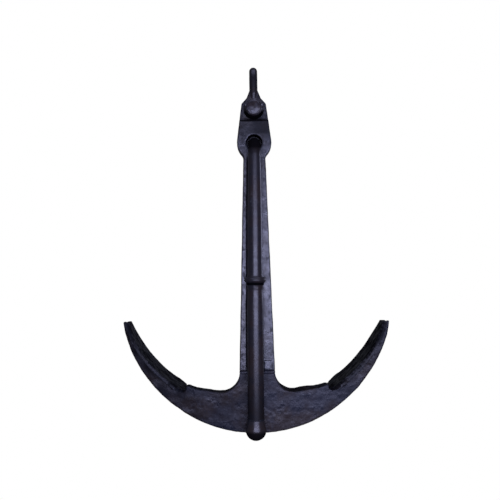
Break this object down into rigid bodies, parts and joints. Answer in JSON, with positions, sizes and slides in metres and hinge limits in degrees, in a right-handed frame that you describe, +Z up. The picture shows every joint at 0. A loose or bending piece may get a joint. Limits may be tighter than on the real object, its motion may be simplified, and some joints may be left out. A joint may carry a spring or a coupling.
{
  "type": "stocked anchor",
  "caption": "Stocked (Admiralty pattern) boat anchor with palmed arms, a shackle and a bent round stock stowed along the shank.",
  "frame": {"origin": "chain seat: the inside of the shackle bow at its top, on the centre plane of the shank", "axes": "+X along the right-hand arm, -Y towards the side that carries the stowed stock, +Z up along the shank, away from the crown"},
  "size_m": [0.5398, 0.2248, 0.7448],
  "materials": {
    "forged_paint": "black paint over a rough forged surface",
    "smooth_paint": "black satin paint over smooth round bar",
    "weld_paint": "black paint over rippled weld beads",
    "bare_steel": "dull galvanised steel, partly black with paint"
  },
  "bodies": {
    "shackle": {"shackle_bow": "smooth_paint", "shackle_pin": "smooth_paint", "pin_washer": "bare_steel", "split_pin": "bare_steel"},
    "anchor": {"shank": "forged_paint", "crown_arms": "forged_paint", "crown_weld": "weld_paint", "palm_left": "forged_paint", "palm_right": "forged_paint", "palm_weld_left_front": "weld_paint", "palm_weld_left_rear": "weld_paint", "palm_weld_right_front": "weld_paint", "palm_weld_right_rear": "weld_paint"},
    "stock": {"stock_rod": "smooth_paint", "stock_collar": "smooth_paint", "collar_weld": "weld_paint", "stock_ball_lower": "smooth_paint", "ball_weld_lower": "weld_paint", "stock_ball_upper": "smooth_paint", "ball_weld_upper": "weld_paint", "stow_washer": "smooth_paint"},
    "key": {"forelock_key": "bare_steel"}
  },
  "joints": [
    {"name": "shackle_swing", "type": "hinge", "parent": "shackle", "child": "anchor", "pos_m": [0, 0, -0.0695], "axis": [0, 1, 0], "range_deg": [-100, 100]},
    {"name": "stock_swing", "type": "hinge", "parent": "anchor", "child": "stock", "pos_m": [0, 0, -0.1395], "axis": [0, 1, 0], "range_deg": [-14.4, 13.6]},
    {"name": "key_slide", "type": "slide", "parent": "stock", "child": "key", "axis": [1, 0, -0.0073], "range_m": [0, 0.062]}
  ]
}
